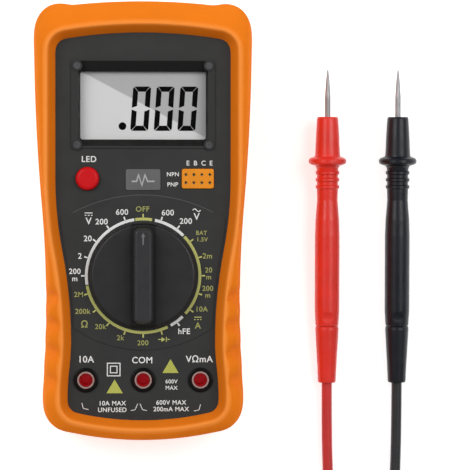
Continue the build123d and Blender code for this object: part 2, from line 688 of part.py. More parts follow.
def make_all():
    PARTS["holster"] = make_holster()
    PARTS["kickstand"] = make_kickstand()
    PARTS["front_case"] = make_front_case()
    PARTS["rear_case"] = make_rear_case()
    PARTS["battery_door"] = make_battery_door()
    PARTS["case_screws"] = make_case_screws()
    PARTS["name_plate"] = Pos(*PLATE_XY, FACE_Z) * extrude(RectangleRounded(11.5, 6.9, 0.6), 0.4)
    make_display()
    make_selector()
    make_button()
    make_hfe_socket()
    make_jacks()
    make_board_parts()
    make_battery()
    for name, lead in LEADS.items():
        make_lead(name, lead)


make_all()
os.makedirs("parts", exist_ok=True)
for node, solid in PARTS.items():
    export_step(solid, os.path.join("parts", node + ".step"))
print(len(PARTS), "nodes")
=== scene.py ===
import json
from math import cos, pi, radians, sin, tan

import bmesh
import bpy
import numpy as np
from mathutils import Matrix, Vector
from mathutils.bvhtree import BVHTree


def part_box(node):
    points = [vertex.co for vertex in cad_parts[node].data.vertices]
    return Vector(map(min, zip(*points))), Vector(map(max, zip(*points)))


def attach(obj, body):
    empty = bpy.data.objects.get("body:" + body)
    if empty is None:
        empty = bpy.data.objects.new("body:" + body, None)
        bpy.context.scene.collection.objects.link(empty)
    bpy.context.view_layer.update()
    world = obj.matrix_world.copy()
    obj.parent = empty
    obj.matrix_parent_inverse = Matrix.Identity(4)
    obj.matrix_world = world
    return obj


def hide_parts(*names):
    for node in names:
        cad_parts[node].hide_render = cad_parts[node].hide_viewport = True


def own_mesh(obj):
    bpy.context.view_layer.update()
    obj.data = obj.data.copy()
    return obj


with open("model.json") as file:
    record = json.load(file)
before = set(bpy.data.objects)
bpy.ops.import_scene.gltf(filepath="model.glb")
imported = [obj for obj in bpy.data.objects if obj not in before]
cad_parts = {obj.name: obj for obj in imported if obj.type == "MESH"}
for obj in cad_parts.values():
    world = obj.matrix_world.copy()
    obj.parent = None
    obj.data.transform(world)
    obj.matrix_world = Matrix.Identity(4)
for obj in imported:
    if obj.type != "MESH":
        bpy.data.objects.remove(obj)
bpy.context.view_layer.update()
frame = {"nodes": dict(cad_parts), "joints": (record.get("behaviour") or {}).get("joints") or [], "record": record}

# A digital multimeter in an orange rubber holster, with its two coiled test leads beside it.
# Metres. +Z out of the meter's face, +Y to its display end, +X to its right.

MM = 0.001
NODES = frame["nodes"]

# The photograph's view: from straight above the middle of the meter, turned a little to take in the leads
CAMERA_HEIGHT = 0.836
LENS_MM = 184.0
CAMERA_TURN = (radians(-0.34), radians(-2.19), 0.0)

# Heights that the printing and the display sit at, from the CAD parts
FACE_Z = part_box("name_plate")[0].z
PAD_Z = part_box("front_case")[1].z
GLASS_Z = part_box("lcd_glass")[1].z
INK = 0.03 * MM
POINTER_INK = 0.01 * MM

DIAL = Vector((0.0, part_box("selector_rotor")[0].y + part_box("selector_rotor")[1].y, 0.0)) / 2
KNOB_TOP_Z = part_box("selector_knob")[1].z


# Camera

def make_camera():
    data = bpy.data.cameras.new("camera")
    data.lens = LENS_MM
    data.sensor_width = 36.0
    data.clip_start = 0.01
    data.clip_end = 50.0
    camera = bpy.data.objects.new("camera", data)
    camera.location = (0.0, 0.0, CAMERA_HEIGHT)
    camera.rotation_euler = CAMERA_TURN
    bpy.context.scene.collection.objects.link(camera)
    bpy.context.scene.camera = camera


# Test lead cords

CORD_D = 3.6
COIL_Y = -115.0
POINTS_A_TURN = 16
LEADS = {
    "red": {
        "x": 63.75, "entry_x": 65.0, "side": -1, "coil_r": 22.8, "turns": 4.25, "tail": 24.0, "length": 0.590,
    },
    "black": {
        "x": 88.1, "entry_x": 87.0, "side": 1, "coil_r": 22.3, "turns": 4.5, "tail": 15.0, "length": 0.590,
    },
}


def coil_points(lead):
    """Turns that wind in on the table and out again on top of themselves, a diameter apart."""
    side = lead["side"]
    centre_x = lead["entry_x"] + side * lead["coil_r"]
    steps = round(lead["turns"] * POINTS_A_TURN)
    swell = 1 / cos(pi / POINTS_A_TURN)
    climb = POINTS_A_TURN // 4
    points = []
    for step in range(1, steps):
        in_turns = min(step, steps - step) / POINTS_A_TURN
        radius = (lead["coil_r"] - CORD_D * in_turns) * swell
        angle = 2 * pi * step / POINTS_A_TURN
        x = centre_x - side * radius * cos(angle)
        y = COIL_Y - radius * sin(angle)
        lift = min(max((step - steps / 2) / climb + 0.5, 0.0), 1.0)
        points.append((x, y, CORD_D / 2 + CORD_D * lift))
    return points


def cord_points(lead):
    """The route from the probe's boot to the plug, in millimetres."""
    x, entry_x, tail = lead["x"], lead["entry_x"], lead["tail"]
    points = [(x, -56.1, 3.25), (x, -80.0, 2.15), (entry_x, -100.0, 1.8), (entry_x, COIL_Y, 1.8)]
    points += coil_points(lead)
    centre_x = entry_x + lead["side"] * lead["coil_r"]
    if lead["side"] < 0:
        exit_y = COIL_Y - lead["coil_r"]
        return points + [(centre_x, exit_y, 5.4), (centre_x - tail, exit_y, 4.6)]
    exit_x = centre_x + lead["coil_r"]
    return points + [(exit_x, COIL_Y, 5.4), (exit_x, COIL_Y + tail, 4.6)]


def make_cord(name, lead):
    points = cord_points(lead)
    curve = bpy.data.curves.new(name + "_lead_cord", "CURVE")
    curve.dimensions = "3D"
    curve.bevel_depth = 1.0
    curve.bevel_resolution = 5
    curve.resolution_u = 6
    curve.use_fill_caps = True
    spline = curve.splines.new("NURBS")
    spline.points.add(len(points) - 1)
    for point, place in zip(spline.points, points):
        point.co = (*(Vector(place) * MM), 1.0)
        point.radius = CORD_D / 2 * MM
    spline.order_u = 3
    spline.use_endpoint_u = True
    cord = bpy.data.objects.new(name + "_lead_cord", curve)
    bpy.context.scene.collection.objects.link(cord)
    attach(cord, name + "_lead")
    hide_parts(name + "_cord", name + "_coil")
    return cord


make_camera()
CORDS = {name: make_cord(name, lead) for name, lead in LEADS.items()}


# Materials

ORANGE = (0.82, 0.198, 0.011)
# Painted highlight colour for the holster's crest
CREST_HIGHLIGHT_ORANGE = (0.94, 0.29, 0.05)
FACE_GREY = (0.026, 0.027, 0.026)
# Painted shade beside the handle's foot, and a painted highlight on the handle
KNOB_FOOT_SHADE = (0.003, 0.003, 0.003)
KNOB_DISC = (0.016, 0.016, 0.017)
KNOB_HANDLE_LIT = (0.024, 0.024, 0.026)
HANDLE_HEIGHT = 7.3 * MM
JACK_PITCH = 19.05 * MM
RIM_RED_REFLECTION = (0.20, 0.012, 0.014)
RIM_METAL = (0.50, 0.33, 0.30)
RIM_BLACK = (0.006, 0.006, 0.006)
GLASS_SLANT = 0.53
GLASS_EDGE = 38.9 * MM
GLASS_PALE = (0.76, 0.76, 0.76)
# Painted reflection: the darker tone of the display's upper right half
GLASS_REFLECTION_DARK = (0.48, 0.48, 0.48)


class Surface:
    """A Principled material under construction, with object-space noise for its variation."""

    def __init__(self, name, colour, roughness, **fixed):
        self.material = bpy.data.materials.new(name)
        self.material.use_nodes = True
        self.tree = self.material.node_tree
        self.shader = self.tree.nodes["Principled BSDF"]
        self.coords = self.tree.nodes.new("ShaderNodeTexCoord").outputs["Object"]
        self.shader.inputs["Base Color"].default_value = (*colour, 1.0)
        self.shader.inputs["Roughness"].default_value = roughness
        for socket, value in fixed.items():
            self.shader.inputs[socket.replace("_", " ")].default_value = value
        self.material.diffuse_color = (*colour, 1.0)

    def link(self, output, socket):
        self.tree.links.new(output, socket)

    def noise(self, size_mm, detail=3.0, stretch=(1, 1, 1)):
        """Noise from 0 to 1 with blobs of about this size."""
        mapping = self.tree.nodes.new("ShaderNodeMapping")
        mapping.inputs["Scale"].default_value = stretch
        self.link(self.coords, mapping.inputs["Vector"])
        texture = self.tree.nodes.new("ShaderNodeTexNoise")
        texture.inputs["Scale"].default_value = 1.0 / (size_mm * MM)
        texture.inputs["Detail"].default_value = detail
        self.link(mapping.outputs["Vector"], texture.inputs["Vector"])
        return texture.outputs["Fac"]

    def ramp(self, value, low, high, from_value=0.35, to_value=0.65):
        """Two colours or two numbers blended by a value."""
        node = self.tree.nodes.new("ShaderNodeMapRange")
        node.inputs["From Min"].default_value = from_value
        node.inputs["From Max"].default_value = to_value
        self.link(value, node.inputs["Value"])
        if not isinstance(low, tuple):
            node.inputs["To Min"].default_value = low
            node.inputs["To Max"].default_value = high
            return node.outputs["Result"]
        mix = self.tree.nodes.new("ShaderNodeMix")
        mix.data_type = "RGBA"
        mix.inputs["A"].default_value = (*low, 1.0)
        mix.inputs["B"].default_value = (*high, 1.0)
        self.link(node.outputs["Result"], mix.inputs["Factor"])
        return mix.outputs["Result"]

    def colour_from(self, value, low, high, from_value=0.35, to_value=0.65):
        self.link(self.ramp(value, low, high, from_value, to_value), self.shader.inputs["Base Color"])
        return self

    def roughness_from(self, value, low, high):
        self.link(self.ramp(value, low, high), self.shader.inputs["Roughness"])
        return self

    def bump(self, value, depth_mm):
        node = self.tree.nodes.new("ShaderNodeBump")
        node.inputs["Strength"].default_value = 1.0
        node.inputs["Distance"].default_value = depth_mm * MM
        self.link(value, node.inputs["Height"])
        self.link(node.outputs["Normal"], self.shader.inputs["Normal"])
        return self


def shade(colour, factor):
    return tuple(min(c * factor, 1.0) for c in colour)


def moulded(name, colour, roughness, grain_mm=0.35, depth_mm=0.01, mottle=0.12, **fixed):
    """Moulded plastic or rubber: fine grain, faint mottling and uneven gloss."""
    surface = Surface(name, colour, roughness, **fixed)
    surface.colour_from(surface.noise(9.0), shade(colour, 1 - mottle), shade(colour, 1 + mottle))
    surface.roughness_from(surface.noise(4.0), roughness - 0.05, roughness + 0.05)
    surface.bump(surface.noise(grain_mm, 2.0), depth_mm)
    return surface.material


def metal(name, colour, roughness, grain_mm=0.6, stretch=(1, 1, 1), depth_mm=0.002):
    """Plated or turned metal with fine marks."""
    surface = Surface(name, colour, roughness, Metallic=1.0)
    surface.colour_from(surface.noise(3.0), shade(colour, 0.9), shade(colour, 1.06))
    marks = surface.noise(grain_mm, 4.0, stretch)
    surface.roughness_from(marks, max(roughness - 0.08, 0.05), roughness + 0.08)
    surface.bump(marks, depth_mm)
    return surface.material


def clear(name, tint, roughness, alpha):
    """Clear moulding that mostly lets what is behind it through, with its own gloss."""
    surface = Surface(name, tint, roughness, Alpha=alpha, Specular_IOR_Level=0.3)
    surface.roughness_from(surface.noise(6.0), roughness, roughness + 0.02)
    surface.bump(surface.noise(20.0, 1.0), 0.002)
    return surface.material


def display_glass():
    """Silver display glass with a painted reflection: its upper right half, past a slanting line, is the darker
    one.
    """
    surface = Surface("display glass", (0.57, 0.57, 0.57), 0.4, Specular_IOR_Level=0.3)
    split = surface.tree.nodes.new("ShaderNodeSeparateXYZ")
    surface.link(surface.coords, split.inputs[0])
    slant = surface.tree.nodes.new("ShaderNodeMath")
    slant.operation = "MULTIPLY_ADD"
    slant.inputs[1].default_value = GLASS_SLANT
    surface.link(split.outputs["X"], slant.inputs[0])
    surface.link(split.outputs["Y"], slant.inputs[2])
    blur = 0.25 * MM
    # Painted reflection: past the slanting line the glass turns darker.
    surface.colour_from(slant.outputs[0], GLASS_PALE, GLASS_REFLECTION_DARK, GLASS_EDGE - blur, GLASS_EDGE + blur)
    surface.bump(surface.noise(0.8), 0.001)
    return surface.material


def holster_rubber():
    """Matt orange rubber, smoother along the crest, with a painted highlight that makes the crest paler."""
    surface = Surface(
        "holster rubber", ORANGE, 0.8, Specular_IOR_Level=0.03, Specular_Tint=(1.0, 0.6, 0.25, 1.0)
    )
    split = surface.tree.nodes.new("ShaderNodeSeparateXYZ")
    surface.link(surface.coords, split.inputs[0])
    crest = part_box("holster")[1].z
    mix = surface.tree.nodes.new("ShaderNodeMix")
    mix.data_type = "RGBA"
    mottle = surface.ramp(surface.noise(9.0), shade(ORANGE, 0.98), shade(ORANGE, 1.02))
    surface.link(mottle, mix.inputs["A"])
    mix.inputs["B"].default_value = (*CREST_HIGHLIGHT_ORANGE, 1.0)
    # Painted highlight: the colour turns paler towards the top of the crest.
    paler = surface.ramp(split.outputs["Z"], 0.0, 1.0, crest - 1.1 * MM, crest - 0.1 * MM)
    surface.link(paler, mix.inputs["Factor"])
    surface.link(mix.outputs["Result"], surface.shader.inputs["Base Color"])
    matt = surface.ramp(split.outputs["Z"], 0.9, 0.26, crest - 1.6 * MM, crest - 0.3 * MM)
    surface.link(matt, surface.shader.inputs["Roughness"])
    surface.bump(surface.noise(0.5, 2.0), 0.005)
    return surface.material


def bezel_plastic():
    """The case's plastic, with painted shade on the slopes that lead down to the display."""
    surface = Surface("bezel plastic", FACE_GREY, 0.5, Specular_IOR_Level=0.2)
    coords = surface.tree.nodes.new("ShaderNodeTexCoord")
    split = surface.tree.nodes.new("ShaderNodeSeparateXYZ")
    surface.link(coords.outputs["Normal"], split.inputs[0])
    # Painted shade: the colour darkens where the surface tilts away from straight up.
    surface.colour_from(split.outputs["Z"], shade(FACE_GREY, 0.38), shade(FACE_GREY, 1.05), 0.9, 0.99)
    surface.roughness_from(surface.noise(4.0), 0.45, 0.55)
    surface.bump(surface.noise(0.28, 2.0), 0.012)
    return surface.material


def knob_plastic():
    """Black knob moulding, with a painted highlight that makes the handle lighter than the disc, and painted shade
    at the handle's foot.
    """
    surface = Surface("knob plastic", (0.018, 0.018, 0.019), 0.42, Specular_IOR_Level=0.3)
    split = surface.tree.nodes.new("ShaderNodeSeparateXYZ")
    surface.link(surface.coords, split.inputs[0])
    aside = surface.tree.nodes.new("ShaderNodeMath")
    aside.operation = "ABSOLUTE"
    surface.link(split.outputs["X"], aside.inputs[0])
    # Painted shade: the disc darkens beside the handle's foot.
    disc = surface.ramp(aside.outputs[0], KNOB_FOOT_SHADE, KNOB_DISC, 3.9 * MM, 4.7 * MM)
    handle_foot = max(vertex.co.z for vertex in NODES["selector_knob"].data.vertices) - HANDLE_HEIGHT
    # Painted highlight: above its foot the handle takes a lighter colour than the disc.
    handle = surface.ramp(split.outputs["Z"], 0.0, 1.0, handle_foot + 0.2 * MM, handle_foot + 0.6 * MM)
    mix = surface.tree.nodes.new("ShaderNodeMix")
    mix.data_type = "RGBA"
    surface.link(disc, mix.inputs["A"])
    mix.inputs["B"].default_value = (*KNOB_HANDLE_LIT, 1.0)
    surface.link(handle, mix.inputs["Factor"])
    surface.link(mix.outputs["Result"], surface.shader.inputs["Base Color"])
    surface.roughness_from(surface.noise(4.0), 0.38, 0.48)
    surface.bump(surface.noise(0.25, 2.0), 0.008)
    return surface.material


def rim_metal():
    """Plated jack rim, with a painted reflection of the red throat on its inner edge, and black on its outer edge
    from the collar.
    """
    surface = Surface("rim metal", RIM_METAL, 0.42, Metallic=1.0)
    split = surface.tree.nodes.new("ShaderNodeSeparateXYZ")
    surface.link(surface.coords, split.inputs[0])
    across = surface.tree.nodes.new("ShaderNodeMath")
    across.operation = "WRAP"
    across.inputs[1].default_value = JACK_PITCH / 2
    across.inputs[2].default_value = -JACK_PITCH / 2
    surface.link(split.outputs["X"], across.inputs[0])
    along = surface.tree.nodes.new("ShaderNodeMath")
    along.operation = "SUBTRACT"
    low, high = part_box("jack_rims")
    along.inputs[1].default_value = (low.y + high.y) / 2
    surface.link(split.outputs["Y"], along.inputs[0])
    joined = surface.tree.nodes.new("ShaderNodeCombineXYZ")
    surface.link(across.outputs[0], joined.inputs["X"])
    surface.link(along.outputs[0], joined.inputs["Y"])
    radius = surface.tree.nodes.new("ShaderNodeVectorMath")
    radius.operation = "LENGTH"
    surface.link(joined.outputs[0], radius.inputs[0])
    # Painted reflection: the inner edge turns red as if it mirrored the throat.
    inner = surface.ramp(radius.outputs["Value"], RIM_RED_REFLECTION, RIM_METAL, 2.2 * MM, 2.4 * MM)
    mix = surface.tree.nodes.new("ShaderNodeMix")
    mix.data_type = "RGBA"
    surface.link(inner, mix.inputs["A"])
    mix.inputs["B"].default_value = (*RIM_BLACK, 1.0)
    outer = surface.ramp(radius.outputs["Value"], 0.0, 1.0, 2.75 * MM, 2.9 * MM)
    surface.link(outer, mix.inputs["Factor"])
    surface.link(mix.outputs["Result"], surface.shader.inputs["Base Color"])
    surface.roughness_from(surface.noise(0.6, 4.0), 0.34, 0.50)
    return surface.material


def make_materials():
    made = {
        "holster_rubber": holster_rubber(),
        "stand_plastic": moulded("stand plastic", (0.03, 0.03, 0.03), 0.5),
        "case_plastic": moulded("case plastic", FACE_GREY, 0.5, 0.28, 0.012, 0.08, Specular_IOR_Level=0.25),
        "screw_steel": metal("screw steel", (0.42, 0.42, 0.43), 0.32),
        "dark_screw": metal("dark screw", (0.10, 0.10, 0.105), 0.45),
        "clear_window": clear("clear window", (0.02, 0.02, 0.02), 0.04, 0.04),
        "display_glass": display_glass(),
        "diffuser_plastic": moulded("diffuser plastic", (0.85, 0.85, 0.82), 0.5),
        "led_plastic": moulded("led plastic", (0.9, 0.9, 0.75), 0.3),
        "zebra_rubber": moulded("zebra rubber", (0.18, 0.06, 0.08), 0.6),
        "holder_plastic": moulded("holder plastic", (0.75, 0.75, 0.72), 0.5),
        "knob_plastic": knob_plastic(),
        "rotor_plastic": moulded("rotor plastic", (0.7, 0.7, 0.65), 0.45),
        "contact_brass": metal("contact brass", (0.75, 0.52, 0.22), 0.3),
        "spring_steel": metal("spring steel", (0.6, 0.6, 0.62), 0.25),
        "button_red": moulded(
            "button red", (0.55, 0.005, 0.008), 0.38, 0.4, 0.006, 0.06, Specular_IOR_Level=0.15
        ),
        "switch_plastic": moulded("switch plastic", (0.03, 0.03, 0.03), 0.5),
        "socket_orange": moulded(
            "socket orange", (0.80, 0.27, 0.012), 0.45, 0.4, 0.006, 0.06, Specular_IOR_Level=0.2
        ),
        "plate_grey": moulded("plate grey", (0.105, 0.105, 0.107), 0.4, 0.5, 0.004, 0.1),
        "collar_black": moulded(
            "collar black", (0.003, 0.003, 0.003), 0.3, 0.5, 0.003, 0.1, Specular_IOR_Level=0.15
        ),
        "rim_metal": rim_metal(),
        # Painted light: the throat's red also glows, though it is no lamp.
        "throat_red": moulded(
            "throat red glow", (0.34, 0.006, 0.01), 0.35, 0.4, 0.004, 0.1,
            Emission_Color=(0.5, 0.004, 0.012, 1.0), Emission_Strength=0.42,
        ),
        "sleeve_brass": metal("sleeve brass", (0.7, 0.52, 0.28), 0.35),
        "board_green": moulded("board green", (0.02, 0.14, 0.05), 0.35, 1.2, 0.01),
        "chip_black": moulded("chip black", (0.015, 0.015, 0.015), 0.55),
        "capacitor_sleeve": moulded("capacitor sleeve", (0.01, 0.02, 0.10), 0.3),
        "resistor_body": moulded("resistor body", (0.50, 0.36, 0.20), 0.4),
        "fuse_glass": clear("fuse glass", (0.7, 0.72, 0.72), 0.03, 0.25),
        "fuse_cap_metal": metal("fuse cap metal", (0.75, 0.75, 0.75), 0.15),
        "shunt_metal": metal("shunt metal", (0.62, 0.40, 0.26), 0.35),
        "battery_metal": moulded("battery print", (0.03, 0.03, 0.05), 0.3, 1.5, 0.004),
        "snap_plastic": moulded("snap plastic", (0.02, 0.02, 0.02), 0.55),
        "wire_insulation": moulded("wire insulation", (0.35, 0.02, 0.02), 0.45),
        "probe_metal": metal("probe metal", (0.36, 0.36, 0.37), 0.5, 0.5, (1, 0.15, 1)),
        "tie_plastic": moulded("tie plastic", (0.03, 0.03, 0.03), 0.5),
        "red_probe_plastic": moulded("red probe plastic", (0.72, 0.026, 0.014), 0.34, 0.6, 0.004, 0.06),
        "black_probe_plastic": moulded(
            "black probe plastic", (0.006, 0.007, 0.012), 0.34, 0.6, 0.004, 0.1, Specular_IOR_Level=0.35
        ),
        "red_cord_rubber": moulded("red cord vinyl", (0.56, 0.022, 0.018), 0.42, 0.7, 0.006, 0.08),
        "black_cord_rubber": moulded("black cord vinyl", (0.013, 0.013, 0.015), 0.42, 0.7, 0.006, 0.1),
    }
    made["ink_white"] = moulded("white print", (0.78, 0.78, 0.76), 0.5, 0.3, 0.002, 0.05)
    made["bezel_plastic"] = bezel_plastic()
    made["ink_yellow"] = moulded("yellow print", (0.50, 0.50, 0.14), 0.5, 0.3, 0.002, 0.05)
    made["ink_lemon"] = moulded("lemon print", (0.44, 0.45, 0.075), 0.5, 0.3, 0.002, 0.05)
    made["ink_olive"] = moulded("olive print", (0.33, 0.33, 0.09), 0.5, 0.3, 0.002, 0.05)
    made["ink_light"] = moulded("light grey print", (0.38, 0.38, 0.38), 0.5, 0.3, 0.002, 0.05)
    made["ink_grey"] = moulded("grey print", (0.12, 0.12, 0.13), 0.5, 0.3, 0.002, 0.05)
    # Painted highlight along the raised zone's upper edge
    made["pad_highlight_paint"] = moulded("pad edge highlight", (0.045, 0.045, 0.046), 0.5, 0.3, 0.002, 0.05)
    made["ink_black"] = moulded(
        "display segments", (0.002, 0.002, 0.002), 0.6, 0.3, 0.001, 0.05, Specular_IOR_Level=0.02
    )
    return made


def paint(piece, material):
    piece.data.materials.clear()
    piece.data.materials.append(material)


MATERIALS = make_materials()
for part in frame["record"]["subparts"]:
    paint(NODES[part["node"]], MATERIALS[part["material_slot"]])
paint(NODES["lcd_bezel"], MATERIALS["bezel_plastic"])
for name, cord in CORDS.items():
    paint(cord, MATERIALS[name + "_cord_rubber"])


# Holster

def add_piece(name, mesh, body="root", material=None):
    piece = bpy.data.objects.new(name, mesh)
    bpy.context.scene.collection.objects.link(piece)
    if material:
        paint(piece, MATERIALS[material])
    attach(piece, body)
    return piece


def applied(piece):
    """The piece's mesh with its modifiers applied to it."""
    bpy.context.view_layer.update()
    seen = piece.evaluated_get(bpy.context.evaluated_depsgraph_get())
    mesh = bpy.data.meshes.new_from_object(seen)
    piece.modifiers.clear()
    piece.data = mesh
    return mesh


SPINE_Y = -2 * MM
RIM_POINTS = 384
WIDEST_Z = 16.0
DRAFT = tan(radians(5))
CREST_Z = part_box("holster")[1].z / MM
FACE_MM = FACE_Z / MM
CROWN_STEPS = 7
SCALLOP_CUT = 3.2
SCALLOPS_Y = (-24.9, -34.5, -44.1, -53.7)


def tree_of(node):
    mesh = NODES[node].data
    return BVHTree.FromPolygons([v.co for v in mesh.vertices], [p.vertices for p in mesh.polygons])


def smooth_loop(values, reach):
    """A closed loop of values, each averaged with its neighbours."""
    total = sum(np.roll(values, shift, axis=0) for shift in range(-reach, reach + 1))
    return total / (2 * reach + 1)


def outward(points):
    """The outward normals of a closed loop that runs anticlockwise."""
    tangent = np.roll(points, -1, axis=0) - np.roll(points, 1, axis=0)
    normal = np.stack([tangent[:, 1], -tangent[:, 0]], axis=1)
    normal = smooth_loop(normal / np.linalg.norm(normal, axis=1)[:, None], 9)
    return normal / np.linalg.norm(normal, axis=1)[:, None]


def face_rim(tree):
    """The holster's edge round the face, its outward normals and its reach to the outside, in millimetres."""
    centre = Vector((0, SPINE_Y, FACE_Z + 0.03 * MM))
    fine = 4 * RIM_POINTS
    hits = []
    for i in range(fine):
        angle = 2 * pi * i / fine
        hits.append(tree.ray_cast(centre, Vector((cos(angle), sin(angle), 0)))[0].xy)
    loop = smooth_loop(np.array(hits) / MM, 2)
    normals = outward(loop)
    middle = loop + 4.0 * normals
    steps = np.linalg.norm(np.roll(middle, -1, axis=0) - middle, axis=1)
    along = np.concatenate([[0], np.cumsum(steps)])
    places = np.linspace(0, along[-1], RIM_POINTS, endpoint=False)

    def resampled(values):
        closed = np.concatenate([values, values[:1]])
        return np.stack([np.interp(places, along, closed[:, k]) for k in (0, 1)], axis=1)

    loop, normals = resampled(loop), resampled(normals)
    normals /= np.linalg.norm(normals, axis=1)[:, None]
    reach = []
    for point, normal in zip(loop, normals):
        start = Vector((*(point + 60 * normal), WIDEST_Z)) * MM
        distance = tree.ray_cast(start, Vector((*-normal, 0)))[3]
        reach.append(60 - distance / MM)
    return loop, normals, smooth_loop(np.array(reach), 1)


def scallop_depth(x, y):
    """How far the finger scallops cut into the slope at a place on the lower sides."""
    return sum(np.exp(-((y - centre) / 2.2) ** 2) for centre in SCALLOPS_Y)


def holster_section(reach, x, y):
    """(distance out from the face's edge, height) from the lip, over the crest and down to the table."""
    crest = min(0.5 * reach, 3.1)
    shoulder_z = 46.24 - 0.9055 * reach
    foot_z = shoulder_z - 4.0
    foot = reach - DRAFT * (foot_z - WIDEST_Z)
    corner = (reach - DRAFT * (shoulder_z - WIDEST_Z), shoulder_z + 0.6)
    section = [(0.05, FACE_MM - 0.2), (0.1, FACE_MM + 0.15), (0.4 * crest, FACE_MM + 2.3)]
    section += [(0.68 * crest, CREST_Z - 1.05), (0.87 * crest, CREST_Z - 0.22)]
    cut = SCALLOP_CUT * scallop_depth(x, y)
    for step in range(CROWN_STEPS + 1):
        t = step / CROWN_STEPS
        out = crest * (1 - t) ** 2 + 2 * corner[0] * t * (1 - t) + foot * t * t
        height = CREST_Z * (1 - t) ** 2 + 2 * corner[1] * t * (1 - t) + foot_z * t * t
        depth = cut * t * (2 - t)
        section.append((out - 0.75 * depth, height - 0.55 * depth))
    section += [(reach - DRAFT * 11.0 - 0.4 * cut, 27.0), (reach - DRAFT * 4.0 - 0.12 * cut, 20.0)]
    section += [(reach, WIDEST_Z), (reach - 0.7, 8.0), (reach - 1.12, 3.2)]
    return section + [(reach - 1.5, 1.1), (reach - 2.2, 0.25), (reach - 3.4, 0.0)]


def make_holster_form():
    """The holster's skin: rings round the face's edge, over the crest, down the walls and up the inside."""
    loop, normals, reach = face_rim(tree_of("holster"))
    form = bmesh.new()
    columns = []
    for (x, y), (nx, ny), far in zip(loop, normals, reach):
        section = [(0.2, 5.95), (1.3, 6.0), (1.3, 20.0), (1.3, FACE_MM - 0.4)]
        section += holster_section(far, x, y) + [(far - 6.0, 0.0)]
        columns.append([form.verts.new(((x + nx * d) * MM, (y + ny * d) * MM, z * MM)) for d, z in section])
    for here, after in zip(columns, columns[1:] + columns[:1]):
        for i in range(len(here) - 1):
            form.faces.new((here[i], here[i + 1], after[i + 1], after[i]))
    return form


def stand_pocket():
    """The space that the folded tilt stand and its pivot pins lie in, as a cutter."""
    low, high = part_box("kickstand")
    hinge = next(joint for joint in frame["joints"] if joint["child"] == "kickstand")
    pivot = Vector(hinge["pos_m"])
    form = bmesh.new()
    corners = []
    half, near, far_y, radius = 17.5 * MM, pivot.y + 4 * MM, -68.5 * MM, 3 * MM
    for cx, cy, turn in ((half, near, 0), (-half, near, 1), (-half, far_y, 2), (half, far_y, 3)):
        middle = Vector((cx - radius * (1 if cx > 0 else -1), cy - radius * (1 if cy > far_y else -1)))
        for i in range(7):
            angle = pi / 2 * (turn + i / 6)
            corners.append((middle.x + radius * cos(angle), middle.y + radius * sin(angle)))
    lower = [form.verts.new((x, y, -1 * MM)) for x, y in corners]
    upper = [form.verts.new((x, y, 4.0 * MM)) for x, y in corners]
    form.faces.new(lower[::-1])
    form.faces.new(upper)
    for i in range(len(corners)):
        j = (i + 1) % len(corners)
        form.faces.new((lower[i], lower[j], upper[j], upper[i]))
    turned = Matrix.Translation(pivot) @ Matrix.Rotation(pi / 2, 4, "Y")
    length = high.x - low.x + 0.8 * MM
    bmesh.ops.create_cone(
        form, cap_ends=True, segments=32, radius1=1.66 * MM, radius2=1.66 * MM, depth=length, matrix=turned
    )
    mesh = bpy.data.meshes.new("stand_pocket")
    bmesh.ops.recalc_face_normals(form, faces=form.faces)
    form.to_mesh(mesh)
    form.free()
    cutter = bpy.data.objects.new("stand_pocket", mesh)
    bpy.context.scene.collection.objects.link(cutter)
    return cutter


def close_ends(mesh):
    """A flat face over each open end of the holster's skin."""
    form = bmesh.new()
    form.from_mesh(mesh)
    bmesh.ops.holes_fill(form, edges=[edge for edge in form.edges if edge.is_boundary], sides=0)
    bmesh.ops.recalc_face_normals(form, faces=form.faces)
    form.to_mesh(mesh)
    form.free()


def make_holster():
    form = make_holster_form()
    mesh = bpy.data.meshes.new("holster_shell")
    form.to_mesh(mesh)
    form.free()
    shell = add_piece("holster_shell", mesh)
    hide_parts("holster")
    rounding = shell.modifiers.new("rounding", "SUBSURF")
    rounding.levels = rounding.render_levels = 1
    close_ends(applied(shell))
    cutter = stand_pocket()
    pocket = shell.modifiers.new("pocket", "BOOLEAN")
    pocket.operation = "DIFFERENCE"
    pocket.solver = "EXACT"
    pocket.object = cutter
    applied(shell)
    bpy.data.objects.remove(cutter)
    shell.data.shade_smooth()
    shell.data.set_sharp_from_angle(angle=radians(50))
    paint(shell, MATERIALS["holster_rubber"])


make_holster()


# Printing on the face

def flat_mesh(polygons, z, thickness=INK):
    """Thin raised pieces from lists of (x, y) corners in millimetres."""
    mesh = bpy.data.meshes.new("print")
    form = bmesh.new()
    for polygon in polygons:
        top = [form.verts.new((x * MM, y * MM, z + thickness)) for x, y in polygon]
        low = [form.verts.new((x * MM, y * MM, z)) for x, y in polygon]
        form.faces.new(top)
        form.faces.new(low[::-1])
        for i in range(len(top)):
            j = (i + 1) % len(top)
            form.faces.new((low[i], low[j], top[j], top[i]))
    bmesh.ops.recalc_face_normals(form, faces=form.faces)
    form.to_mesh(mesh)
    form.free()
    return mesh


